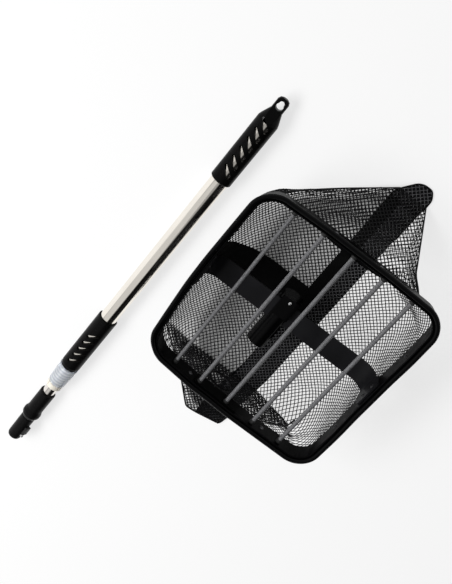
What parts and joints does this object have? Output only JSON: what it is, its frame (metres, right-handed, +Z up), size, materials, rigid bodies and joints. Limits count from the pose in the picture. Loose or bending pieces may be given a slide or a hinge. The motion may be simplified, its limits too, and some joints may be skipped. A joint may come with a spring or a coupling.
{
  "type": "leaf skimmer net",
  "caption": "Pool leaf skimmer: a framed mesh bag with guard rods across its mouth, and a telescopic pole with slotted grips, a twist lock and a snap-button connector, lying side by side.",
  "frame": {"origin": "centre of the bounding box's bottom face, on the floor", "axes": "+Z up, +Y along the net's guard rods away from the pole's connector, +X towards the net from the pole"},
  "size_m": [0.3528, 0.6954, 0.105],
  "materials": {
    "frame_black": "semi-gloss moulded plastic",
    "liner_black": "semi-gloss moulded plastic",
    "hem_fabric": "woven binding",
    "rivet_steel": "darkened steel",
    "plate_black": "matt",
    "rod_grey": "satin grey paint",
    "ferrule_black": "matt",
    "yoke_grey": "satin dark grey paint",
    "socket_black": "gloss",
    "rivet_bright": "bright",
    "netting": "knotted nylon mesh",
    "band_fabric": "doubled mesh over fabric",
    "tape_black": "woven tape",
    "tube_outer_steel": "polished stainless steel",
    "grip_black": "gloss",
    "collar_translucent": "translucent",
    "collet_cream": "gloss",
    "tube_inner_steel": "polished stainless steel",
    "bush_black": "matt",
    "connector_black": "semi-matt",
    "button_steel": "polished",
    "tab_black": "matt",
    "spring_steel": "spring steel"
  },
  "bodies": {
    "pole_outer": {"outer_tube": "tube_outer_steel", "upper_grip": "grip_black", "lower_grip": "grip_black", "lock_collet": "collet_cream"},
    "pole_inner": {"inner_tube": "tube_inner_steel", "inner_bush": "bush_black", "connector_sleeve": "connector_black", "connector_plug": "connector_black", "button_spring": "spring_steel"},
    "collar": {"lock_collar": "collar_translucent"},
    "button": {"snap_button": "button_steel", "release_tab": "tab_black"},
    "net_head": {"rim_frame": "frame_black", "rim_liner": "liner_black", "net_hem": "hem_fabric", "rim_rivets": "rivet_steel", "rim_joint_plate": "plate_black", "guard_rod_1": "rod_grey", "guard_rod_2": "rod_grey", "guard_rod_3": "rod_grey", "guard_rod_4": "rod_grey", "guard_rod_5": "rod_grey", "rod_end_caps": "ferrule_black", "yoke_strap": "yoke_grey", "yoke_rivets": "rivet_steel", "pole_socket": "socket_black", "socket_rivet": "rivet_bright", "socket_screws": "rivet_steel", "net_left_panel": "netting", "net_right_panel": "netting", "net_far_end": "netting", "net_near_end": "netting", "net_centre_band": "band_fabric", "net_inner_strap": "tape_black", "net_port_binding": "hem_fabric"}
  },
  "joints": [
    {"name": "tube_draw", "type": "slide", "parent": "pole_outer", "child": "pole_inner", "axis": [-0.0419, -0.9991, 0], "range_m": [0, 0.41]},
    {"name": "collar_turn", "type": "hinge", "parent": "pole_outer", "child": "collar", "pos_m": [-0.1583, -0.19745, 0.01475], "axis": [0.0419, 0.9991, 0], "range_deg": [0, 90]},
    {"name": "button_press", "type": "slide", "parent": "pole_inner", "child": "button", "axis": [-0.9055, 0.038, -0.4226], "range_m": [0, 0.0045], "stiffness_N_per_m": 500, "springref_m": -0.004, "deforming": ["button_spring"]},
    {"name": "net_lift", "type": "slide", "parent": "pole_outer", "child": "net_head", "axis": [0, 0, 1], "range_m": [0, 0.3]}
  ]
}
